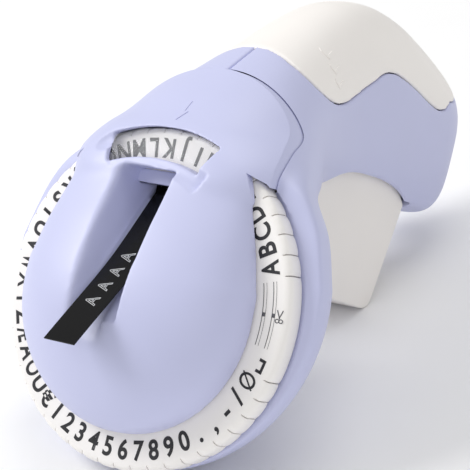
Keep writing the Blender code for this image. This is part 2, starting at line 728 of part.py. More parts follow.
def toothed_wheel(name, centre, root, tip, teeth, hole, x_low, x_high):
    """A ratchet wheel with saw teeth."""
    outline = []
    for k in range(teeth):
        t = 2 * math.pi * k / teeth
        outline.append((centre[0] + tip * math.cos(t), centre[1] + tip * math.sin(t)))
        t += 2 * math.pi * 0.12 / teeth
        outline.append((centre[0] + root * math.cos(t), centre[1] + root * math.sin(t)))
    wheel = slab_x(name, outline, x_low, x_high)
    return cut(wheel, rod_x("bore", centre[0], centre[1], hole, x_low - 1.0, x_high + 1.0, 20))


# ---------------------------------------------------------------- door
def tape_door():
    door = outer_form("tape_door", 0.0, 2, 7, 28)
    cut(door, outer_form("hollow", WALL, 1, 7, 20))
    keep(door, slab_x("door_region", door_outline(0.15), -30.0, 30.0))
    y, z = DOOR_HINGE
    cut(door, rod_x("hub_room_left", y, z, 2.4, -8.5, -5.5, 20))
    cut(door, rod_x("hub_room_right", y, z, 2.4, 5.5, 8.5, 20))
    web = [(y + 0.4, z - 1.3), (y + 3.0, z - 1.4), (y + 3.6, z + 1.4), (y + 0.4, z + 1.3)]
    join(door, slab_x("web", web, -5.2, 5.2), rod_x("knuckle", y, z, 2.0, -5.4, 5.4, 24))
    return cut(door, rod_x("pin_hole", y, z, 1.2, -10.0, 10.0, 20))


# ---------------------------------------------------------------- build every piece
pieces = []


def finish(body, name, material, pivot=(0.0, 0.0, 0.0)):
    """Name a piece, give it its finish, put its origin on its pivot and turn it into metres."""
    body.name = name
    body.data.name = name
    body.data.materials.clear()
    body.data.materials.append(material)
    body.data.transform(Matrix.Scale(MM, 4) @ Matrix.Translation(-Vector(pivot)))
    body.location = Vector(pivot) * MM
    body.data.shade_smooth()
    body.data.set_sharp_from_angle(angle=math.radians(32.0))
    pieces.append(body)
    return body


shell_form, outer_tree = housing_shell()
left = housing_half(shell_form, -1, "left_housing")
right = housing_half(shell_form, 1, "right_housing")
bpy.data.objects.remove(shell_form, do_unlink=True)
finish(left, "left_housing", LAVENDER_SHELL)
finish(right, "right_housing", LAVENDER_SHELL)
finish(dome_cover(outer_tree), "dome_cover", LAVENDER_SHELL)
finish(window_lens(), "window_lens", CLEAR_LENS)
finish(chassis_plate(), "chassis_plate", GREY_PLASTIC)
finish(tape_guide(), "tape_guide", GREY_PLASTIC)

finish(letter_wheel(), "letter_wheel", CREAM_SHELL)
finish(die_wheel(), "die_wheel", GREY_PLASTIC)
finish(sync_pinion(), "sync_pinion", GREY_PLASTIC, (0.0, PINION_Y, 0.0))
leaf = [(9.6, -31.0), (10.4, -31.0), (9.0, -24.6), (8.5, PINION_Y), (9.0, -21.2), (10.4, -15.0),
        (9.6, -15.0), (8.4, -21.0), (8.0, PINION_Y), (8.4, -24.8)]
finish(slab_z("detent_spring", leaf, -8.0, -3.0), "detent_spring", STEEL_PART)

trigger_at = (0.0, *TRIGGER_PIVOT)
lever_at = (0.0, *LEVER_PIVOT)
roller_at = (0.0, *ROLLER)
reel_at = (0.0, *REEL)
finish(trigger(), "trigger", CREAM_SHELL, trigger_at)
finish(rod_x("trigger_pin", *TRIGGER_PIVOT, 1.5, -16.0, 16.0), "trigger_pin", STEEL_PART)
finish(coil("trigger_spring", TRIGGER_PIVOT, 2.6, 0.7, 4.5, 5.2, 9.8), "trigger_spring", STEEL_PART)
finish(press_lever(), "press_lever", GREY_PLASTIC, lever_at)
finish(rod_x("lever_pin", *LEVER_PIVOT, 1.25, -9.2, 9.2, 20), "lever_pin", STEEL_PART)
pad = [(33.2, -13.0), (33.2, -11.3), (33.6, -11.0), (36.6, -11.0), (37.0, -11.3), (37.0, -13.0)]
finish(slab_x("anvil_pad", pad, -5.0, 5.0), "anvil_pad", STEEL_PART, lever_at)
blade = [(37.7, -18.0), (37.7, -9.8), (38.1, -9.4), (38.1, -18.0)]
finish(slab_x("cutter_blade", blade, -4.8, 4.8), "cutter_blade", STEEL_PART, lever_at)

feed = tube("feed_roller", 1.4, ROLLER_R, -5.4, 5.4, "X", roller_at)
finish(feed, "feed_roller", RUBBER_PART, roller_at)
ratchet = toothed_wheel("ratchet_wheel", ROLLER, 4.3, 5.4, 12, 1.4, -8.2, -5.8)
finish(ratchet, "ratchet_wheel", GREY_PLASTIC, roller_at)
finish(rod_x("feed_shaft", *ROLLER, 1.0, -11.4, 11.4, 20), "feed_shaft", STEEL_PART)
pinch_at = (0.0, *PINCH)
pinch = tube("pinch_roller", 1.3, PINCH_R, -5.0, 5.0, "X", pinch_at, 20)
finish(pinch, "pinch_roller", GREY_PLASTIC, pinch_at)
finish(rod_x("pinch_shaft", *PINCH, 0.9, -11.4, 11.4, 16), "pinch_shaft", STEEL_PART)
pawl_at = (0.0, 37.0, -31.0)
pawl = [(38.6, -33.0), (36.2, -32.6), (36.2, -29.6), (40.0, -24.6), (42.8, -22.9), (43.3, -23.6),
        (39.4, -29.6)]
finish(slab_x("feed_pawl", pawl, -8.0, -6.0), "feed_pawl", STEEL_PART, pawl_at)

path, slack = tape_path()
finish(ribbon("label_tape", path, TAPE_THICK, TAPE_WIDTH / 2), "label_tape", BLACK_TAPE)
reel_radius = min(REEL_R, REEL_R + slack - 0.5)
finish(tube("tape_roll", 4.4, reel_radius, -4.5, 4.5, "X", reel_at, 44), "tape_roll", BLACK_TAPE, reel_at)
finish(tube("spool_hub", 2.1, 4.1, -5.0, 5.0, "X", reel_at, 24), "spool_hub", GREY_PLASTIC, reel_at)
wall_line = [(0.0, -6.6), (16.1, -6.6), (16.1, 5.6), (15.4, 5.6), (15.4, -5.7), (1.8, -5.7),
             (1.8, 5.6), (0.0, 5.6)]
case = turned("cassette_case", wall_line, 44, "X", reel_at)
exit_way = [(68.0, -50.0), (95.0, -50.0), (95.0, -76.0), (76.0, -76.0), (68.0, -66.0)]
cut(case, slab_x("tape_exit", exit_way, -5.7, 8.0))
finish(case, "cassette_case", GREY_PLASTIC)

finish(tape_door(), "tape_door", CREAM_SHELL, (0.0, *DOOR_HINGE))
finish(rod_x("door_hinge_pin", *DOOR_HINGE, 0.9, -9.0, 9.0, 16), "door_hinge_pin", STEEL_PART)

for number, (y, z) in enumerate(SCREW_POINTS, 1):
    profile = [(0.0, -13.6), (2.4, -13.6), (2.4, -11.8), (1.2, -11.8), (1.2, 8.6), (0.0, 9.2)]
    screw = turned("housing_screw", profile, 16, "X", (0.0, y, z))
    finish(screw, f"housing_screw_{number}", STEEL_PART)
for number, (x, y) in enumerate(CHASSIS_SCREWS, 1):
    profile = [(0.0, -19.4), (1.2, -19.0), (1.2, -9.8), (2.6, -9.8), (2.6, -8.8), (1.4, -8.3), (0.0, -8.3)]
    screw = turned("chassis_screw", profile, 16, "Z", (x, y, 0.0))
    finish(screw, f"chassis_screw_{number}", STEEL_PART)

# ---------------------------------------------------------------- resting pose
device = bpy.data.objects.new("device", None)
bpy.context.scene.collection.objects.link(device)
for piece in pieces:
    piece.parent = device
device.rotation_euler = (REST_TILT, 0.0, 0.0)
bpy.context.view_layer.update()
corners = np.array([piece.matrix_world @ v.co for piece in pieces for v in piece.data.vertices])
low = corners.min(axis=0)
high = corners.max(axis=0)
device.location = (0.0, -(low[1] + high[1]) / 2, -low[2])
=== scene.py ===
import json
import math

import bmesh
import bpy
import numpy as np
from mathutils import Matrix, Vector
from mathutils.bvhtree import BVHTree


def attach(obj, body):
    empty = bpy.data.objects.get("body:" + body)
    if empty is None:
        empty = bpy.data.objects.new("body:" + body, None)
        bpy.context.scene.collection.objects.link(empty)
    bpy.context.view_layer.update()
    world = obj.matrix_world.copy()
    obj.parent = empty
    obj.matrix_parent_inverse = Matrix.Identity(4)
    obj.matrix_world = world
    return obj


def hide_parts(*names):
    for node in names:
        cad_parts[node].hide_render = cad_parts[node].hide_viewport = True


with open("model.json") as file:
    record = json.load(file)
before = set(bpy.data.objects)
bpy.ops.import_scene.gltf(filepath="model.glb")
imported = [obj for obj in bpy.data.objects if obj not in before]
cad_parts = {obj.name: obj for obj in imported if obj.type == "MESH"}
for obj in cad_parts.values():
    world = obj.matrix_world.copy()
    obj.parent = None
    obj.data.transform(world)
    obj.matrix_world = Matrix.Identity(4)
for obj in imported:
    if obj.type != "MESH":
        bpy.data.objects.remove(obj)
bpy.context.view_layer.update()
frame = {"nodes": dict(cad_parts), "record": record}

JOINTS = {joint["name"]: joint for joint in frame["record"]["behaviour"]["joints"]}
SPINDLE = JOINTS["dial_spin"]
TILT = math.atan2(-SPINDLE["axis"][1], SPINDLE["axis"][2])
TO_WORLD = Matrix.Translation(SPINDLE["pos_m"]) @ Matrix.Rotation(TILT, 4, "X") @ Matrix.Scale(0.001, 4)

# dial
DIAL_PLACES = 51
DIAL_R = 42.0
DIAL_DEPTH = 5.5
DIAL_PLATE = 2.2
FIRST_PLACE = 9.9
CUT_ZONE = (46.0, 50.0)
PRINT_R = 36.7
GLYPH_WIDTH = 3.75
PRINT_HEIGHT = 4.85
GEAR_ROOT = 30.9
GEAR_TIP = 29.4
SKIRT_INNER_R = 39.4

# bowl, neck and handle
BOWL_R = 46.0
BOWL_Y = 4.5
LIP_Z = -4.9
WELL_R = 42.6
WELL_FLOOR = -5.8
WELL_HOLE_R = 38.8
SEAM_R = 29.3
SEAM_Y = 30.3
WALL = 2.0
TOP_CLEAR = 0.35
SPLIT = 0.08
GAP = 0.3

# dome cover, window and channel
DOME_R = 33.0
DOME_TOP = 19.5
DOME_END = 38.0
LENS_R = (34.0, 41.5)
LENS_HALF_ANGLE = 22.5
CHANNEL_HALF = 6.6

# tape, trigger and door
TAPE_WIDTH = 9.0
TAPE_THICK = 0.3
TAPE_SLOPE = 0.83
TAPE_ROOT = (28.2, -5.2)
TRIGGER_HALF = 13.6
DOOR_HINGE = (74.0, -107.0)
BARREL_R = 5.15
SCREW_POINTS = [(51.0, -37.0), (45.0, -104.0), (60.5, -108.5)]


# ---------------------------------------------------------------- mesh tools
def mesh_object(name, points, faces):
    mesh = bpy.data.meshes.new(name)
    mesh.from_pydata([tuple(p) for p in points], [], faces)
    shape = bmesh.new()
    shape.from_mesh(mesh)
    bmesh.ops.remove_doubles(shape, verts=shape.verts, dist=0.0005)
    bmesh.ops.recalc_face_normals(shape, faces=shape.faces)
    shape.to_mesh(mesh)
    shape.free()
    body = bpy.data.objects.new(name, mesh)
    bpy.context.scene.collection.objects.link(body)
    return body


def loft(name, rings):
    """A closed skin over rings of equal length, with a flat cap at each end."""
    count = len(rings[0])
    points = [point for ring in rings for point in ring]
    faces = []
    for row in range(len(rings) - 1):
        for k in range(count):
            n = (k + 1) % count
            a = row * count
            b = a + count
            faces.append((a + k, a + n, b + n, b + k))
    faces.append(tuple(range(count)))
    faces.append(tuple(range(len(points) - count, len(points))))
    return mesh_object(name, points, faces)


def slab_x(name, outline, x_low, x_high):
    """A (y, z) outline extruded along X."""
    return loft(name, [[(x, y, z) for y, z in outline] for x in (x_low, x_high)])


def slab_z(name, outline, z_low, z_high):
    """An (x, y) outline extruded along Z."""
    return loft(name, [[(x, y, z) for x, y in outline] for z in (z_low, z_high)])


def circle(centre, radius, steps=64, start=0.0, sweep=2 * math.pi):
    count = steps if abs(sweep - 2 * math.pi) < 1e-6 else steps + 1
    turns = [start + sweep * k / steps for k in range(count)]
    return [(centre[0] + radius * math.cos(t), centre[1] + radius * math.sin(t)) for t in turns]


def rod_x(name, y, z, radius, x_low, x_high, steps=48):
    return slab_x(name, circle((y, z), radius, steps), x_low, x_high)


def ellipsoid(name, centre, radii, turn=0.0, steps=32):
    """A closed ellipsoid, turned about Z by `turn` degrees."""
    rings = []
    spin = math.radians(turn)
    for k in range(1, steps):
        phi = math.pi * k / steps
        ring = []
        for j in range(2 * steps):
            t = math.pi * j / steps
            u = radii[0] * math.sin(phi) * math.cos(t)
            v = radii[1] * math.sin(phi) * math.sin(t)
            ring.append((centre[0] + u * math.cos(spin) - v * math.sin(spin),
                         centre[1] + u * math.sin(spin) + v * math.cos(spin),
                         centre[2] + radii[2] * math.cos(phi)))
        rings.append(ring)
    return loft(name, rings)


def applied(body):
    """Put the result of a body's modifiers into its mesh."""
    view = bpy.context.evaluated_depsgraph_get()
    result = bpy.data.meshes.new_from_object(body.evaluated_get(view))
    body.modifiers.clear()
    body.data = result
    return body


def combine(target, tool, operation):
    step = target.modifiers.new("step", "BOOLEAN")
    step.operation = operation
    step.solver = "MANIFOLD"
    step.object = tool
    applied(target)
    bpy.data.objects.remove(tool, do_unlink=True)
    return target


def cut(target, *tools):
    for tool in tools:
        combine(target, tool, "DIFFERENCE")
    return target


def join(target, *tools):
    for tool in tools:
        combine(target, tool, "UNION")
    return target


def keep(target, tool):
    return combine(target, tool, "INTERSECT")


def copy_of(body, name):
    twin = body.copy()
    twin.data = body.data.copy()
    twin.name = name
    bpy.context.scene.collection.objects.link(twin)
    return twin


def soften(body, voxel, rounds):
    """Round every edge by about a voxel: a fine remesh, then a few smoothing rounds."""
    skin = body.modifiers.new("skin", "REMESH")
    skin.mode = "VOXEL"
    skin.voxel_size = voxel
    relax = body.modifiers.new("relax", "SMOOTH")
    relax.factor = 0.5
    relax.iterations = rounds
    return applied(body)


def smooth_values(table, samples):
    """Catmull-Rom values between the rows of a table, `samples` steps per row."""
    rows = np.array(table, float)
    padded = np.vstack([2 * rows[0] - rows[1], rows, 2 * rows[-1] - rows[-2]])
    out = []
    for k in range(1, len(rows)):
        p0, p1, p2, p3 = padded[k - 1:k + 3]
        for s in range(samples):
            t = s / samples
            out.append(0.5 * ((2 * p1) + (p2 - p0) * t + (2 * p0 - 5 * p1 + 4 * p2 - p3) * t * t
                              + (3 * p1 - p0 - 3 * p2 + p3) * t ** 3))
    out.append(rows[-1])
    return out


def curve_value(table, where):
    """A smooth value read from (position, value) pairs."""
    fine = smooth_values(table, 8)
    return float(np.interp(where, [p[0] for p in fine], [p[1] for p in fine]))


# ---------------------------------------------------------------- outer form
# neck and handle sections: top (y, z), bottom (y, z), half width, height of the widest point
# (0 bottom, 1 top), roundness of the upper and of the lower half
NECK_SECTIONS = [
    (24.0, -4.9, 20.0, -27.0, 41.2, 0.84, 5.0, 2.4),
    (36.5, -2.0, 26.5, -30.5, 34.2, 0.70, 2.2, 2.4),
    (47.0, -3.6, 30.5, -34.5, 29.5, 0.50, 2.0, 2.6),
    (56.0, -12.8, 33.5, -40.0, 25.0, 0.50, 2.1, 2.8),
    (64.0, -22.8, 35.0, -46.5, 21.5, 0.50, 2.1, 3.4),
    (71.5, -33.2, 35.8, -53.0, 19.2, 0.50, 2.1, 4.5),
    (79.3, -44.8, 36.0, -60.0, 17.9, 0.50, 2.2, 6.0),
    (85.3, -56.8, 36.0, -67.5, 17.4, 0.50, 2.3, 6.0),
    (88.0, -69.0, 36.0, -76.0, 17.2, 0.50, 2.4, 6.0),
    (87.2, -81.0, 36.0, -84.5, 17.1, 0.50, 2.5, 6.0),
    (84.3, -92.0, 36.0, -92.5, 17.0, 0.50, 2.6, 6.0),
    (80.6, -102.5, 36.0, -100.5, 17.0, 0.50, 2.7, 6.0),
    (77.0, -110.5, 36.0, -106.5, 16.6, 0.50, 2.8, 5.0),
    (73.5, -115.3, 37.3, -111.5, 15.2, 0.50, 2.8, 4.0),
    (68.5, -118.0, 42.0, -115.2, 11.8, 0.50, 2.6, 3.0),
    (61.0, -118.9, 49.5, -117.0, 5.5, 0.50, 2.2, 2.2),
]


def bowl_sections(count):
    rows = []
    for k in range(count):
        phi = math.radians(6.0 + (97.0 - 6.0) * k / (count - 1))
        y = BOWL_Y - BOWL_R * math.cos(phi)
        depth = 4.0 + 17.0 * math.sin(phi)
        rows.append((y, LIP_Z, y, LIP_Z - depth, BOWL_R * math.sin(phi), 0.86, 6.0, 2.3))
    return rows


def section_ring(row, inset, steps):
    top_y, top_z, low_y, low_z, half, widest, upper, lower = row
    top = Vector((0.0, top_y, top_z))
    low = Vector((0.0, low_y, low_z))
    up = (top - low).normalized()
    top = top - up * inset
    low = low + up * inset
    height = (top - low).length
    half = half - inset
    ring = []
    for k in range(steps):
        t = 2 * math.pi * k / steps
        c = math.cos(t)
        s = math.sin(t)
        power = upper if s >= 0 else lower
        reach = (1.0 - widest) if s >= 0 else widest
        across = half * math.copysign(abs(c) ** (2.0 / power), c)
        level = widest + reach * math.copysign(abs(s) ** (2.0 / power), s)
        point = low + up * (height * level)
        ring.append((across, point.y, point.z))
    return ring


def outer_form(name, inset, samples, bowl_count, steps):
    """The closed outer form of bowl, neck and handle, drawn in by `inset`."""
    front = bowl_sections(bowl_count)
    neck = smooth_values([front[-1]] + NECK_SECTIONS, samples)
    rows = front[:-1] + [tuple(r) for r in neck]
    if inset > 0:
        rows = [r for r in rows if r[4] > inset + 3.5 and r[0] > front[0][0] + inset]
        rows = [r for r in rows if not (r[1] < -100.0 and r[4] < 12.0)]
    return loft(name, [section_ring(r, inset, steps) for r in rows])


def surface_height(tree, x, y):
    hit = tree.ray_cast(Vector((x, y, 60.0)), Vector((0.0, 0.0, -1.0)))
    return hit[0].z


# ---------------------------------------------------------------- dome cover form
# (y, height) of the dome's ridge, (y, half width) of the dome, (y, height) of the neck's crest
RIDGE = [(-33.0, 15.5), (-20.0, 18.4), (-6.0, DOME_TOP), (4.0, 18.4), (15.0, 14.6), (24.0, 10.6),
         (31.0, 7.6), (DOME_END, 3.9)]
DOME_WIDTH = [(6.0, 32.6), (15.0, 30.6), (25.0, 27.4), (33.5, 24.2), (36.0, 20.5), (39.2, 14.0)]
CREST = [(30.4, 8.0), (34.0, 6.6), (38.0, 4.4), (41.8, 1.6), (44.3, -0.9), (49.3, -5.6), (54.4, -11.2),
         (59.7, -17.4)]


def dome_station(t, inset):
    """Where the dome's outline is at t from 0, front, to 1, neck: y, half width and share of the height."""
    front = DOME_R - inset
    if t < 0.5:
        phi = math.radians(4.0) + t / 0.5 * math.radians(88.0)
        return -front * math.cos(phi), front * math.sin(phi), math.sin(phi) ** 0.62
    y = (t - 0.5) / 0.5 * (DOME_END - inset) + 1.2
    half = min(curve_value(DOME_WIDTH, y) if y > 6.0 else DOME_R, DOME_R) - inset
    return y, half, 1.0


def dome_form(name, inset, base, rows, steps):
    """The dome: rounded cross sections whose ridge falls away towards the neck."""
    rings = []
    for k in range(rows):
        y, half, rise = dome_station(k / (rows - 1), inset)
        ridge = curve_value(RIDGE, min(y, DOME_END)) - inset
        top = base + (ridge - base) * rise
        power = float(np.interp(y, [16.0, 34.0], [0.92, 1.04]))
        ring = []
        for j in range(steps + 1):
            a = math.pi * j / steps
            c = math.cos(a)
            across = half * math.copysign(abs(c) ** power, c)
            ring.append((across, y, base + (top - base) * abs(math.sin(a)) ** power))
        rings.append(ring)
    return loft(name, rings)


def neck_form(name, tree, inset, spread, depth, lift, rows, steps):
    """The neck's top cover inside the round seam, flush with the outer form along the seam."""
    rings = []
    radius = SEAM_R + spread - inset
    first = 2.0 - 4.0 * spread
    for k in range(rows):
        phi = math.radians(first + (89.0 - first) * k / (rows - 1))
        y = SEAM_Y + radius * math.sin(phi)
        half = radius * math.cos(phi)
        real_y = SEAM_Y + SEAM_R * math.sin(phi)
        real_half = SEAM_R * math.cos(phi)
        edge = surface_height(tree, real_half, real_y)
        crest = max(curve_value(CREST, real_y), edge) + lift - inset
        power = float(np.interp(real_y, [30.0, 36.0, 43.0, 52.0, 58.0], [4.4, 3.9, 2.9, 2.7, 2.2]))
        ring = []
        for j in range(steps + 1):
            u = 2.0 * j / steps - 1.0
            across = half * math.copysign(1.0 - (1.0 - abs(u)) ** 1.6, u)
            drop = (crest - (edge + lift - inset)) * abs(across / half) ** power
            ring.append((across, y, crest - drop))
        base = edge - depth
        ring.append((half, y, base))
        ring.append((-half, y, base))
        rings.append(ring)
    return loft(name, rings)


# ---------------------------------------------------------------- shared outlines
def arch_outline(steps):
    """Side view of the arch in the handle's walls, above the trigger."""
    centre_y = 30.0
    centre_z = -69.5
    rise = 12.3
    half = 26.5
    points = []
    for k in range(steps + 1):
        t = math.pi * k / steps
        c = math.cos(t)
        y = centre_y + rise * math.sin(t) ** 0.8
        points.append((y, centre_z + half * math.copysign(abs(c) ** 0.8, c)))
    points.append((0.0, centre_z - half))
    points.append((0.0, centre_z + half))
    return points


# side view of the door's lower edge, from the front of the saddle to the hinge barrel
DOOR_EDGE = [(70.5, -27.0), (67.6, -27.9), (64.6, -28.0), (61.8, -29.6), (59.2, -32.8), (57.5, -37.5),
             (57.3, -42.5), (58.7, -47.5), (62.4, -54.0), (66.6, -61.0), (69.4, -66.0), (70.3, -70.0),
             (70.2, -74.5), (68.4, -83.5), (66.2, -92.0), (65.2, -98.0), (66.0, -102.5)]


def door_outline(shrink, samples):
    """Side view of the region that belongs to the door; shrink > 0 draws its edge in."""
    edge = [tuple(p) for p in smooth_values(DOOR_EDGE, samples)]
    moved = []
    for k, (y, z) in enumerate(edge):
        before = edge[max(k - 1, 0)]
        after = edge[min(k + 1, len(edge) - 1)]
        ty = after[0] - before[0]
        tz = after[1] - before[1]
        size = math.hypot(ty, tz)
        moved.append((y - tz / size * shrink, z + ty / size * shrink))
    radius = BARREL_R - shrink
    barrel = circle(DOOR_HINGE, radius, 36, math.radians(170.0), math.radians(168.0))
    return moved + barrel + [(95.0, -110.0), (100.0, -60.0), (95.0, -20.0), (75.0, -20.0)]


# ---------------------------------------------------------------- placing
def finish(body, name, material, rides, *stands_for, slot=None, crease=0.0):
    """Move a piece into the world, give it its finish and let it ride on its CAD body."""
    body.name = name
    body.data.name = name
    body.data.materials.clear()
    body.data.materials.append(material)
    body.data.transform(TO_WORLD)
    body.data.shade_smooth()
    if crease:
        body.data.set_sharp_from_angle(angle=math.radians(crease))
    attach(body, rides)
    if stands_for:
        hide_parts(*stands_for)
    return body


# ---------------------------------------------------------------- housings
def housing_shell():
    shell = outer_form("shell", 0.0, 8, 40, 160)
    tree = BVHTree.FromObject(shell, bpy.context.evaluated_depsgraph_get())
    foot_level = min(v.co.y * math.sin(TILT) + v.co.z * math.cos(TILT) for v in shell.data.vertices)
    cut(shell, outer_form("hollow", WALL, 3, 14, 60))
    cut(shell, slab_z("well", circle((0.0, 0.0), WELL_R, 180), WELL_FLOOR, 30.0))
    cut(shell, slab_z("floor_hole", circle((0.0, 0.0), WELL_HOLE_R, 120), -7.9, 0.0))
    cut(shell, slab_x("door_opening", door_outline(-0.12, 6), -30.0, 30.0))
    cut(shell, slab_x("arch", arch_outline(72), -30.0, 30.0))
    slot = [(14.0, -33.0), (30.0, -29.5), (40.0, -33.0), (40.0, -50.0), (14.0, -50.0)]
    room = [(30.0, -60.0), (44.0, -60.0), (44.0, -96.0), (30.0, -96.0)]
    for name, outline in (("trigger_slot", slot), ("trigger_room", room)):
        cut(shell, slab_x(name, outline, -TRIGGER_HALF - 0.7, TRIGGER_HALF + 0.7))
    return shell, tree, foot_level


def foot_outline(level):
    """Side view of the space under the bowl's flat foot."""
    outline = []
    top = level + 0.4
    bottom = level - 20.0
    for height, along in ((top, -90.0), (top, 60.0), (bottom, 60.0), (bottom, -90.0)):
        outline.append((height * math.sin(TILT) + along * math.cos(TILT),
                        height * math.cos(TILT) - along * math.sin(TILT)))
    return outline


def housing_half(shell, tree, side, foot_level):
    half = copy_of(shell, "half")
    box = [(-60.0, -140.0), (110.0, -140.0), (110.0, 60.0), (-60.0, 60.0)]
    keep(half, slab_x("half_space", box, *sorted((side * SPLIT, side * 120.0))))
    for y, z in SCREW_POINTS:
        join(half, rod_x("screw_boss", y, z, 3.2, *sorted((side * SPLIT, side * 15.0))))
        if side < 0:
            cut(half, rod_x("head_way", y, z, 2.75, -40.0, -11.5))
    web = [(74.5, -105.1), (69.5, -101.8), (64.0, -102.5), (61.5, -108.0), (61.5, -115.8), (64.5, -115.8),
           (66.3, -112.5), (68.0, -109.0), (68.2, -106.2), (69.8, -104.0), (72.3, -105.9)]
    low, high = sorted((side * 6.0, side * 8.2))
    join(half, slab_x("hinge_web", web, low, high), rod_x("hinge_hub", *DOOR_HINGE, 2.0, low, high))
    soften(half, 0.42, 7)
    cut(half, neck_form("neck_opening", tree, 0.0, GAP, 4.6, 12.0, 90, 40))
    cut(half, slab_x("foot", foot_outline(foot_level), -60.0, 60.0))
    return half


# ---------------------------------------------------------------- dome cover and lens
FLOOR_LINE = [(31.2, -7.6), (24.0, -2.8), (14.0, 3.9), (4.0, 10.4), (-8.0, 16.6), (-15.5, 19.4),
              (-19.0, 21.0)]


def soft_channel():
    """The hollow the fingertip finds: a leaning left wall that fades out towards the front."""
    rings = []
    for y, z in smooth_values(FLOOR_LINE, 4):
        fade = min(1.0, max(0.0, (y + 19.0) / 22.0))
        left = CHANNEL_HALF - 1.0 * fade
        lean = 3.6 - 1.2 * fade
        rings.append([(-left, y, z), (3.0, y, z), (3.0, y, 60.0), (-left - lean * 4.0, y, 60.0),
                      (-left - lean, y, z + 9.0)])
    return loft("soft_channel", rings)


def crisp_channel():
    """The upright right wall and the floor beside the tape."""
    floor = [(31.2, -7.6), (24.0, -2.8), (14.0, 3.9), (4.0, 10.6), (-6.0, 18.0), (-9.0, 22.0)]
    rings = []
    for y, z in floor:
        right = CHANNEL_HALF + 0.4
        rings.append([(-CHANNEL_HALF + 0.9, y, z), (right, y, z), (right + 0.5, y, z + 9.0),
                      (right + 0.8, y, 60.0), (-CHANNEL_HALF + 0.9, y, 60.0)])
    return loft("crisp_channel", rings)


def dome_plan(inset, rows):
    """The dome's outline seen along the spindle."""
    right = []
    for k in range(rows):
        y, half = dome_station(k / (rows - 1), inset)[:2]
        right.append((half, y))
    return right + [(-x, y) for x, y in reversed(right)]


def neck_plan():
    """The cover's outline on the neck: the round seam, closed by its edge over the dial."""
    seam = circle((0.0, SEAM_Y), SEAM_R, 90, math.radians(2.0), math.radians(176.0))
    return seam + [(-28.7, 32.0), (-23.4, 34.2), (23.4, 34.2), (28.7, 32.0)]


def window_crescent(tree):
    """A scooped band under the window's lower edge, widening to the right."""
    middle = 33.6
    rings = []
    for k in range(25):
        part = k / 24
        t = math.radians(112.0 - 50.0 * part)
        radius = 2.6 + 1.4 * part
        sunk = 0.2 + 1.2 * part ** 1.5
        x = middle * math.cos(t)
        y = middle * math.sin(t)
        z = surface_height(tree, x, y) + radius - sunk
        ring = []
        for j in range(20):
            a = 2 * math.pi * j / 20
            r = middle + radius * math.cos(a)
            ring.append((r * math.cos(t), r * math.sin(t), z + radius * math.sin(a)))
        rings.append(ring)
    return loft("window_crescent", rings)


def dome_cover(tree):
    cover = dome_form("dome_cover", 0.0, TOP_CLEAR, 90, 90)
    join(cover, slab_z("skirt", dome_plan(0.0, 90), -6.0, TOP_CLEAR + 0.4))
    join(cover, neck_form("neck_top", tree, 0.0, 2.0, 3.4, 0.0, 60, 60))
    cut(cover, soft_channel())
    soften(cover, 0.75, 22)
    skin = BVHTree.FromObject(cover, bpy.context.evaluated_depsgraph_get())
    solid = copy_of(cover, "cover_limit")
    cut(cover, slab_z("dial_room", circle((0.0, 0.0), WELL_R, 128), -12.0, TOP_CLEAR))
    cut(cover, dome_form("dome_inside", 1.9, TOP_CLEAR - 3.0, 40, 40))
    cut(cover, neck_form("neck_inside", tree, 1.3, 0.0, 12.0, 0.0, 30, 24))
    walls = [(24.0, -4.6), (24.0, 30.0), (-16.0, 30.0), (-16.0, 14.0), (-8.0, 12.8), (4.0, 7.0), (14.0, 1.6)]
    trough = slab_x("trough", walls, -CHANNEL_HALF - 5.5, CHANNEL_HALF + 2.4)
    cheek = [(12.0, 2.8), (24.0, -5.4), (31.6, -5.4), (31.6, 30.0), (12.0, 30.0)]
    join(trough, slab_x("cheek_left", cheek, -CHANNEL_HALF - 5.5, -CHANNEL_HALF + 0.9))
    join(trough, slab_x("cheek_right", cheek, CHANNEL_HALF + 0.2, CHANNEL_HALF + 2.4))
    join(trough, slab_z("ledge", sector_outline(31.4, 33.7, 30.0, 48), 1.0, 30.0))
    keep(trough, solid)
    join(cover, trough)
    cut(cover, crisp_channel())
    slot = [(23.9, -14.0), (31.2, -14.0), (31.2, -2.0), (23.9, -2.0)]
    cut(cover, slab_x("slot", slot, -CHANNEL_HALF + 0.9, CHANNEL_HALF))
    room = slab_z("wheel_room", circle((0.0, 0.0), WELL_R, 128), -12.0, TOP_CLEAR)
    cut(room, slab_z("wheel_core", circle((0.0, 0.0), 28.7, 128), -13.0, 1.0))
    cut(cover, room)
    window = sector_outline(LENS_R[0] - 0.3, LENS_R[1] + 0.3, LENS_HALF_ANGLE + 0.5, 48)
    cut(cover, slab_z("window", window, -3.0, 40.0))
    cut(cover, window_crescent(skin))
    cut(cover, ellipsoid("scoop_left", (-15.2, 38.4, 8.6), (7.6, 4.4, 6.2), 32.0))
    soften(cover, 0.34, 8)
    limit = slab_z("dome_limit", dome_plan(-0.5, 90), -40.0, 60.0)
    join(limit, slab_z("neck_limit", neck_plan(), -40.0, 60.0))
    return keep(cover, limit)


def raised_mark(surface, name, outline, shift, along_x=False):
    """A low raised mark: an outline's prism, kept inside a slightly shifted copy of the surface."""
    if along_x:
        mark = slab_x(name, outline, *sorted((math.copysign(6.0, shift[0]), math.copysign(24.0, shift[0]))))
    else:
        mark = slab_z(name, outline, -20.0, 20.0)
    lifted = copy_of(surface, "lifted")
    lifted.data.transform(Matrix.Translation(shift))
    return keep(mark, lifted)


def arrow_mark(cover):
    """The faint arrow above the window, pointing at it."""
    outline = [(-0.45, 49.4), (-0.45, 46.6), (-1.5, 46.6), (0.0, 44.0), (1.5, 46.6), (0.45, 46.6),
               (0.45, 49.4)]
    return raised_mark(cover, "arrow_mark", outline, (0.0, 0.10, 0.10))


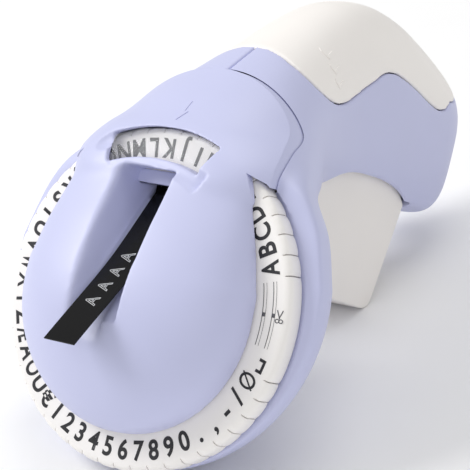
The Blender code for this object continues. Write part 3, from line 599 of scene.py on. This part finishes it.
def door_marks(door):
    """Three low chevrons in a row on each side of the door, above its front lobe."""
    marks = []
    for side in (-1, 1):
        for y, z in ((62.4, -42.6), (65.9, -41.6), (69.4, -40.6)):
            outline = [(y - 1.1, z), (y + 0.5, z + 1.7), (y + 1.3, z + 1.7), (y - 0.1, z),
                       (y + 1.3, z - 1.7), (y + 0.5, z - 1.7)]
            marks.append(raised_mark(door, "door_mark", outline, (side * 0.16, 0.10, 0.0), True))
    first = marks.pop()
    return join(first, *marks)


def exit_guard():
    """A plain guard that closes the slot above the tape; the photo has a small dark gap there."""
    guard = slab_x("exit_guard", [(27.8, 0.42), (31.1, 0.42), (31.1, 1.0), (27.8, 1.0)], -9.8, 6.8)
    join(guard, slab_x("curtain", [(27.8, -2.4), (28.5, -2.4), (28.5, 0.8), (27.8, 0.8)], -6.3, 6.3))
    return soften(guard, 0.15, 2)


def sector_outline(inner, outer, half_angle, steps):
    start = math.radians(90.0 - half_angle)
    sweep = math.radians(2 * half_angle)
    outside = circle((0.0, 0.0), outer, steps, start, sweep)
    inside = circle((0.0, 0.0), inner, steps, start, sweep)
    return outside + inside[::-1]


def window_lens():
    """A clear bar in four flat lengths round the dial, crowned across its width."""
    rings = []
    steps = 4
    middle = (LENS_R[0] + LENS_R[1]) / 2
    half = (LENS_R[1] - LENS_R[0]) / 2
    for k in range(steps + 1):
        t = math.radians(90.0 - LENS_HALF_ANGLE + 2 * LENS_HALF_ANGLE * k / steps)
        ring = []
        for j in range(49):
            a = math.pi * j / 48
            radius = middle + half * math.cos(a)
            ring.append((radius, 2.9 + 1.5 * math.sin(a) ** 0.6 - 0.42 * (radius - middle)))
        ring.append((middle - half, 0.6))
        ring.append((middle + half, 0.6))
        rings.append([(r * math.cos(t), r * math.sin(t), z) for r, z in ring])
    return loft("window_lens", rings)


# ---------------------------------------------------------------- dial
def ring_places(radius_low, radius_high, teeth_at, half_low, half_high):
    """A ring of teeth, one to a place: radii and half widths at the tooth's foot and tip."""
    outline = []
    for k in range(DIAL_PLACES):
        centre = teeth_at + 2 * math.pi * k / DIAL_PLACES
        for radius, offset in ((radius_low, -half_low), (radius_high, -half_high),
                               (radius_high, half_high), (radius_low, half_low)):
            t = centre + offset / radius
            outline.append((radius * math.cos(t), radius * math.sin(t)))
    return outline


def place_angle(place):
    return math.pi / 2 + (place - FIRST_PLACE) * 2 * math.pi / DIAL_PLACES


def rim_radius(turn):
    """The rim swells between its notches and runs plain along the cutting zone."""
    place = FIRST_PLACE + (turn - math.pi / 2) * DIAL_PLACES / (2 * math.pi)
    near = (place + 0.5) % 1.0
    gap = min(near, 1.0 - near) * 2 * math.pi / DIAL_PLACES * DIAL_R
    if CUT_ZONE[0] < place % DIAL_PLACES < CUT_ZONE[1]:
        return DIAL_R
    return DIAL_R - 0.22 * math.exp(-(gap / 0.9) ** 2)


def letter_wheel():
    count = DIAL_PLACES * 16
    rings = []
    for z, inset in ((-DIAL_DEPTH, 0.5), (-DIAL_DEPTH + 0.15, 0.15), (-DIAL_DEPTH + 0.5, 0.0), (-1.8, 0.0),
                     (-1.45, 0.06), (-1.1, 0.18), (-0.75, 0.38), (-0.45, 0.68), (-0.2, 1.1), (-0.05, 1.55),
                     (0.0, 2.0)):
        ring = []
        for k in range(count):
            t = 2 * math.pi * k / count
            radius = rim_radius(t) - inset
            ring.append((radius * math.cos(t), radius * math.sin(t), z))
        rings.append(ring)
    wheel = loft("letter_wheel", rings)
    slits = []
    for k in range(DIAL_PLACES):
        if not CUT_ZONE[0] < k + 0.5 < CUT_ZONE[1]:
            t = place_angle(k + 0.5)
            across = Vector((-math.sin(t), math.cos(t)))
            along = Vector((math.cos(t), math.sin(t)))
            inner = along * 40.5
            outer = along * 44.0
            corners = [inner - across * 0.13, outer - across * 0.24, outer + across * 0.24,
                       inner + across * 0.13]
            slits.append(slab_z("slit", [tuple(c) for c in corners], -20.0, 20.0))
    cut(wheel, *slits)
    gear = ring_places(GEAR_ROOT, GEAR_TIP, -math.pi / 2 + math.pi / DIAL_PLACES, 1.15, 0.42)
    cut(wheel, slab_z("hole", gear, -20.0, 20.0))
    cut(wheel, slab_z("under", circle((0.0, 0.0), SKIRT_INNER_R, 128), -DIAL_DEPTH - 1.0, -DIAL_PLATE))
    return wheel


def glyph(text, height, weight=0.024, outline=0.0):
    """One printed character as a thin flat mesh, centred, `height` tall, in the XY plane."""
    curve = bpy.data.curves.new("glyph", type="FONT")
    curve.body = text
    curve.size = 1.0
    curve.align_x = "CENTER"
    if outline:
        curve.fill_mode = "NONE"
        curve.bevel_depth = outline
        curve.bevel_resolution = 2
    else:
        curve.offset = weight
        curve.extrude = 0.006
    curve.resolution_u = 6
    letter = bpy.data.objects.new("glyph", curve)
    bpy.context.scene.collection.objects.link(letter)
    mesh = bpy.data.meshes.new_from_object(letter.evaluated_get(bpy.context.evaluated_depsgraph_get()))
    bpy.data.objects.remove(letter, do_unlink=True)
    mesh.transform(Matrix.Scale(height / 0.729, 4) @ Matrix.Translation((0.0, -0.3645, 0.0)))
    width = max(v.co.x for v in mesh.vertices) - min(v.co.x for v in mesh.vertices)
    mesh.transform(Matrix.Scale(min(0.9, GLYPH_WIDTH / width), 4, (1.0, 0.0, 0.0)))
    return mesh


def gather(name, meshes):
    """Join meshes, each already in its place, into one object."""
    shape = bmesh.new()
    for mesh in meshes:
        shape.from_mesh(mesh)
        bpy.data.meshes.remove(mesh)
    merged = bpy.data.meshes.new(name)
    shape.to_mesh(merged)
    shape.free()
    body = bpy.data.objects.new(name, merged)
    bpy.context.scene.collection.objects.link(body)
    return body


def on_dial(mesh, place, radius, lift=0.03):
    """Stand a flat mark on the dial's face with its top towards the spindle."""
    turn = place_angle(place)
    spot = Vector((radius * math.cos(turn), radius * math.sin(turn), lift))
    mesh.transform(Matrix.Translation(spot) @ Matrix.Rotation(turn + math.pi / 2, 4, "Z"))
    return mesh


def flat_mark(points, thick=0.06):
    """A closed flat outline with a little thickness."""
    mark = slab_z("mark", points, -thick / 2, thick / 2)
    mesh = mark.data
    bpy.data.objects.remove(mark, do_unlink=True)
    return mesh


def stroke(start, end, width):
    dx = end[0] - start[0]
    dy = end[1] - start[1]
    size = math.hypot(dx, dy)
    nx = -dy / size * width / 2
    ny = dx / size * width / 2
    return flat_mark([(start[0] + nx, start[1] + ny), (end[0] + nx, end[1] + ny),
                      (end[0] - nx, end[1] - ny), (start[0] - nx, start[1] - ny)])


def arc_stroke(first, last, radius, width):
    """A thin printed arc on the dial between two places."""
    steps = 24
    angles = [place_angle(first + (last - first) * k / steps) for k in range(steps + 1)]
    outer = [((radius + width / 2) * math.cos(t), (radius + width / 2) * math.sin(t)) for t in angles]
    inner = [((radius - width / 2) * math.cos(t), (radius - width / 2) * math.sin(t)) for t in angles[::-1]]
    mesh = flat_mark(outer + inner)
    mesh.transform(Matrix.Translation((0.0, 0.0, 0.03)))
    return mesh


def ring_mark(centre, radius, width):
    """A small round handle of the scissors sign."""
    steps = 20
    points = []
    faces = []
    for k in range(steps):
        t = 2 * math.pi * k / steps
        for r in (radius - width / 2, radius + width / 2):
            points.append((centre[0] + r * math.cos(t), centre[1] + 1.25 * r * math.sin(t), 0.0))
        a = 2 * k
        b = (2 * k + 2) % (2 * steps)
        faces.append((a, a + 1, b + 1, b))
    mesh = bpy.data.meshes.new("ring_mark")
    mesh.from_pydata(points, [], faces)
    return mesh


def dial_print():
    """The characters, the space sign and the cutting marks printed on the dial."""
    signs = list("ABCDEFGHIJKLMNOPQRSTUVWXYZ") + ["Æ", "Ä", "Ö", "Ü", "€"]
    signs += list("1234567890") + [".", ",", "-", "/", "Ø"]
    marks = []
    for place, sign in enumerate(signs):
        weight = 0.004 if sign == "Ø" else 0.024
        marks.append(on_dial(glyph(sign, PRINT_HEIGHT, weight), place, PRINT_R))
    space_sign = [((-1.35, -0.7), (-1.35, -2.2)), ((-1.7, -2.2), (1.7, -2.2)), ((1.35, -2.2), (1.35, -0.7))]
    for start, end in space_sign:
        marks.append(on_dial(stroke(start, end, 0.72), len(signs), PRINT_R))
    return gather("dial_print", marks)


def cut_marks():
    """Two pairs of cutting lines with a small block on each, and a plain scissors sign."""
    marks = []
    for radius in (35.2, 37.9):
        for side, width in ((-0.42, 0.17), (0.42, 0.07)):
            marks.append(arc_stroke(46.9, 50.3, radius + side, width))
        marks.append(on_dial(stroke((0.0, -0.42), (0.0, 0.42), 0.95), 48.6, radius, 0.04))
    blades = [stroke((-0.1, -0.1), (1.9, 0.8), 0.24), stroke((-0.1, 0.1), (1.9, -0.8), 0.24)]
    handles = [ring_mark((-0.65, 0.5), 0.42, 0.22), ring_mark((-0.65, -0.5), 0.42, 0.22)]
    for mesh in blades + handles:
        marks.append(on_dial(mesh, 48.5, 39.6, 0.05))
    return gather("dial_cut_marks", marks)


# ---------------------------------------------------------------- tape lettering
# (y, sag) along the free tape, from its free end to the slot
TAPE_SAG = [(-12.9, 0.0), (-8.0, 0.5), (-2.0, 1.2), (4.0, 1.8), (9.0, 1.9), (14.0, 1.5), (19.0, 0.9),
            (24.0, 0.3), (28.2, 0.0)]


def tape_height(y):
    """The free tape's middle: a straight climb out of the slot with a shallow sag."""
    ys, sags = zip(*TAPE_SAG)
    return TAPE_ROOT[1] + TAPE_SLOPE * (TAPE_ROOT[0] - y) - float(np.interp(y, ys, sags))


def tape_strip():
    """The label strip: flat through the press, then rising out of the channel."""
    free = smooth_values([(y, tape_height(y)) for y, _ in reversed(TAPE_SAG)], 5)
    middle = [(38.5, -8.2), (35.0, -7.2), (31.4, -7.1), (29.6, -6.2)] + [tuple(p) for p in free]
    upper = []
    lower = []
    for k in range(len(middle)):
        y0, z0 = middle[max(k - 1, 0)]
        y1, z1 = middle[min(k + 1, len(middle) - 1)]
        size = math.hypot(y1 - y0, z1 - z0)
        ny = -(z1 - z0) / size * TAPE_THICK / 2
        nz = (y1 - y0) / size * TAPE_THICK / 2
        upper.append((middle[k][0] + ny, middle[k][1] + nz))
        lower.append((middle[k][0] - ny, middle[k][1] - nz))
    return slab_x("label_tape", upper + lower[::-1], -TAPE_WIDTH / 2, TAPE_WIDTH / 2)


def tape_letters():
    """Raised stress-whitened letters along the free tape, tops to the left."""
    meshes = []
    for k in range(4):
        y = 9.0 - 3.87 * k
        slope = math.atan2(tape_height(y - 1.0) - tape_height(y + 1.0), 2.0)
        mesh = glyph("A", 3.5, outline=0.016)
        lift = Vector((0.0, math.sin(slope), math.cos(slope))) * (TAPE_THICK / 2 + 0.03)
        place = Vector((-0.3, y, tape_height(y))) + lift
        mesh.transform(Matrix.Translation(place) @ Matrix.Rotation(-slope, 4, "X")
                       @ Matrix.Rotation(math.radians(90.0), 4, "Z"))
        meshes.append(mesh)
    return gather("tape_letters", meshes)


# ---------------------------------------------------------------- trigger and door
def trigger():
    top = [(27.0, -33.6), (30.0, -31.9), (35.0, -31.7), (37.8, -34.5), (38.8, -40.0), (40.0, -46.0),
           (43.5, -55.0), (45.4, -67.0), (44.8, -80.0), (41.5, -90.0), (37.2, -94.0)]
    low = [(10.2, -86.2), (8.0, -84.9), (6.9, -82.0), (7.2, -77.0), (8.2, -64.0), (11.5, -53.0),
           (17.5, -44.0), (24.0, -37.5)]
    body = slab_x("trigger", top + [tuple(p) for p in smooth_values(low, 6)], -TRIGGER_HALF, TRIGGER_HALF)
    hollow = [(60.0, -44.0), (60.0, -95.0), (38.0, -91.4), (12.0, -83.6), (9.8, -81.0), (10.6, -66.0),
              (14.0, -55.5), (20.0, -46.5), (26.0, -41.5), (33.0, -42.0)]
    cut(body, slab_x("hollow", hollow, -11.4, 11.4))
    fork = [(60.0, -28.0), (60.0, -45.0), (25.0, -43.0), (22.0, -28.0)]
    cut(body, slab_x("fork_left", fork, -11.6, -3.8), slab_x("fork_right", fork, 3.8, 11.6))
    arm = [(30.0, -34.0), (34.4, -20.9), (38.2, -21.3), (38.0, -36.0), (34.0, -40.5), (28.0, -40.5)]
    join(body, slab_x("press_arm", arm, -3.6, 3.6))
    return soften(body, 0.42, 9)


def tape_door():
    door = outer_form("tape_door", 0.0, 8, 7, 160)
    cut(door, outer_form("hollow", WALL, 3, 7, 60))
    keep(door, slab_x("door_region", door_outline(0.12, 6), -30.0, 30.0))
    y, z = DOOR_HINGE
    cut(door, rod_x("hub_room_left", y, z, 2.4, -8.5, -5.5), rod_x("hub_room_right", y, z, 2.4, 5.5, 8.5))
    web = [(y + 0.4, z - 1.3), (y + 3.0, z - 1.4), (y + 3.6, z + 1.4), (y + 0.4, z + 1.3)]
    join(door, slab_x("web", web, -5.2, 5.2), rod_x("knuckle", y, z, 2.0, -5.4, 5.4))
    return soften(door, 0.5, 5)


# ---------------------------------------------------------------- materials
def procedural(name, colour, rough, tint=0.02, bump=0.10, grain=900.0, **values):
    """A moulded finish: faint colour drift, uneven gloss and a fine moulded grain."""
    material = bpy.data.materials.new(name)
    material.use_nodes = True
    tree = material.node_tree
    shader = tree.nodes["Principled BSDF"]
    place = tree.nodes.new("ShaderNodeTexCoord")
    drift = tree.nodes.new("ShaderNodeTexNoise")
    drift.inputs["Scale"].default_value = 38.0
    drift.inputs["Detail"].default_value = 3.0
    tree.links.new(place.outputs["Object"], drift.inputs["Vector"])
    ramp = tree.nodes.new("ShaderNodeValToRGB")
    ramp.color_ramp.elements[0].position = 0.3
    ramp.color_ramp.elements[1].position = 0.7
    ramp.color_ramp.elements[0].color = (*[c * (1.0 - tint) for c in colour], 1.0)
    ramp.color_ramp.elements[1].color = (*[min(1.0, c * (1.0 + tint)) for c in colour], 1.0)
    tree.links.new(drift.outputs["Fac"], ramp.inputs["Fac"])
    tree.links.new(ramp.outputs["Color"], shader.inputs["Base Color"])
    smear = tree.nodes.new("ShaderNodeTexNoise")
    smear.inputs["Scale"].default_value = 160.0
    smear.inputs["Detail"].default_value = 5.0
    tree.links.new(place.outputs["Object"], smear.inputs["Vector"])
    gloss = tree.nodes.new("ShaderNodeMapRange")
    gloss.inputs["To Min"].default_value = rough * 0.86
    gloss.inputs["To Max"].default_value = min(1.0, rough * 1.16)
    tree.links.new(smear.outputs["Fac"], gloss.inputs["Value"])
    tree.links.new(gloss.outputs["Result"], shader.inputs["Roughness"])
    fine = tree.nodes.new("ShaderNodeTexNoise")
    fine.inputs["Scale"].default_value = grain
    fine.inputs["Detail"].default_value = 4.0
    tree.links.new(place.outputs["Object"], fine.inputs["Vector"])
    relief = tree.nodes.new("ShaderNodeBump")
    relief.inputs["Strength"].default_value = bump
    relief.inputs["Distance"].default_value = 0.0001
    tree.links.new(fine.outputs["Fac"], relief.inputs["Height"])
    tree.links.new(relief.outputs["Normal"], shader.inputs["Normal"])
    for socket, value in values.items():
        shader.inputs[socket.replace("_", " ")].default_value = value
    return material


LAVENDER = procedural("lavender_plastic", (0.565, 0.585, 0.815), 0.42, 0.012, 0.10)
CREAM = procedural("cream_plastic", (0.93, 0.895, 0.86), 0.42, 0.012, 0.10)
DIAL_CREAM = procedural("dial_plastic", (0.93, 0.905, 0.88), 0.38, 0.012, 0.08)
INK = procedural("dial_ink", (0.018, 0.018, 0.022), 0.45, 0.2, 0.05)
CUT_INK = procedural("cut_ink", (0.11, 0.11, 0.12), 0.45, 0.2, 0.05)
TAPE = procedural("tape_vinyl", (0.004, 0.004, 0.0045), 0.20, 0.2, 0.12, 500.0, Specular_IOR_Level=0.2)
STRESS = procedural("stress_white", (0.75, 0.76, 0.78), 0.5, 0.05, 0.2)
GREY = procedural("inner_grey", (0.06, 0.06, 0.065), 0.5, 0.06, 0.15)
STEEL = procedural("pin_steel", (0.60, 0.60, 0.62), 0.28, 0.04, 0.12, 1400.0, Metallic=1.0)
RUBBER = procedural("roller_rubber", (0.02, 0.02, 0.02), 0.8, 0.1, 0.3)
LENS = procedural("lens_clear", (0.97, 0.98, 1.0), 0.04, 0.004, 0.01, 300.0, Alpha=0.10, IOR=1.49)

STEEL_NODES = ["detent_spring", "trigger_pin", "trigger_spring", "lever_pin", "anvil_pad", "cutter_blade",
               "feed_shaft", "pinch_shaft", "feed_pawl", "door_hinge_pin"]
STEEL_NODES += [f"{kind}_screw_{number}" for kind in ("housing", "chassis") for number in (1, 2, 3)]
GREY_NODES = ["chassis_plate", "tape_guide", "die_wheel", "sync_pinion", "press_lever", "ratchet_wheel",
              "pinch_roller", "spool_hub", "cassette_case"]


def dress(names, material):
    for name in names:
        node = frame["nodes"][name]
        node.data.materials.clear()
        node.data.materials.append(material)


dress(STEEL_NODES, STEEL)
dress(GREY_NODES, GREY)
dress(["feed_roller"], RUBBER)
dress(["label_tape", "tape_roll"], TAPE)

# ---------------------------------------------------------------- the visible pieces
# edges turning by more degrees than this stay sharp on the lavender and cream mouldings
SEAM_CREASE = 42.0
shell, outer_tree, foot_level = housing_shell()
for side, hand in ((-1, "left"), (1, "right")):
    half = housing_half(shell, outer_tree, side, foot_level)
    finish(half, f"housing_{hand}_skin", LAVENDER, "body", f"{hand}_housing", crease=SEAM_CREASE)
bpy.data.objects.remove(shell, do_unlink=True)
cover = dome_cover(outer_tree)
finish(arrow_mark(cover), "arrow_mark", LAVENDER, "body", slot="lavender_shell", crease=SEAM_CREASE)
finish(cover, "dome_skin", LAVENDER, "body", "dome_cover", crease=SEAM_CREASE)
finish(exit_guard(), "exit_guard", LAVENDER, "body", slot="lavender_shell")
finish(window_lens(), "lens_bar", LENS, "body", "window_lens", crease=8.0)
finish(letter_wheel(), "dial_ring", DIAL_CREAM, "dial", "letter_wheel", crease=38.0)
finish(dial_print(), "dial_print", INK, "dial", slot="black_tape")
finish(cut_marks(), "dial_cut_marks", CUT_INK, "dial", slot="black_tape")
finish(tape_strip(), "tape_skin", TAPE, "body", "label_tape", crease=40.0)
finish(tape_letters(), "tape_letters", STRESS, "body", slot="cream_dial")
finish(trigger(), "trigger_skin", CREAM, "trigger", "trigger")
door = tape_door()
finish(door_marks(door), "door_marks", CREAM, "door", slot="cream_shell", crease=SEAM_CREASE)
finish(door, "door_skin", CREAM, "door", "tape_door")

# ---------------------------------------------------------------- floor, light and camera
FLOOR_HALF = 2.0
corners = [(-FLOOR_HALF, -FLOOR_HALF, 0.0), (FLOOR_HALF, -FLOOR_HALF, 0.0), (FLOOR_HALF, FLOOR_HALF, 0.0),
           (-FLOOR_HALF, FLOOR_HALF, 0.0)]
floor = mesh_object("floor", corners, [(0, 1, 2, 3)])
floor.data.materials.append(procedural("floor_paper", (0.93, 0.93, 0.93), 0.9, 0.004, 0.02))


def area_light(name, position, size, energy, target=(0.0, 0.0, 0.04)):
    lamp = bpy.data.lights.new(name, "AREA")
    lamp.shape = "DISK"
    lamp.size = size
    lamp.energy = energy
    holder = bpy.data.objects.new(name, lamp)
    holder.location = position
    aim = Vector(target) - Vector(position)
    holder.rotation_euler = aim.to_track_quat("-Z", "Y").to_euler()
    bpy.context.scene.collection.objects.link(holder)


area_light("key", (-0.75, -0.35, 0.85), 0.6, 7.6)
area_light("fill", (0.8, -0.9, 0.45), 0.9, 1.5)
area_light("top", (0.1, 0.35, 1.1), 0.7, 3.0)

world = bpy.data.worlds.new("studio")
world.use_nodes = True
world.node_tree.nodes["Background"].inputs["Color"].default_value = (1.0, 1.0, 1.0, 1.0)
world.node_tree.nodes["Background"].inputs["Strength"].default_value = 0.52
bpy.context.scene.world = world
bpy.context.scene.view_settings.view_transform = "Standard"

# the view of the photo, from a least-squares fit to the places of the letters on the dial:
# the camera's spot, its line of sight and its right, all in the dial frame
CAMERA_SPOT = Vector((286.2, 11.4, 392.1))
CAMERA_FORWARD = Vector((-0.5572, 0.0160, -0.8302))
CAMERA_RIGHT = Vector((0.8174, 0.1870, -0.5449))

lens = bpy.data.cameras.new("view")
lens.lens = 153.2
lens.sensor_width = 36.0
camera = bpy.data.objects.new("view", lens)
camera_up = CAMERA_RIGHT.cross(CAMERA_FORWARD)
turn = TO_WORLD.to_3x3().normalized() @ Matrix((CAMERA_RIGHT, camera_up, -CAMERA_FORWARD)).transposed()
camera.matrix_world = Matrix.Translation(TO_WORLD @ CAMERA_SPOT) @ turn.to_4x4()
bpy.context.scene.collection.objects.link(camera)
bpy.context.scene.camera = camera
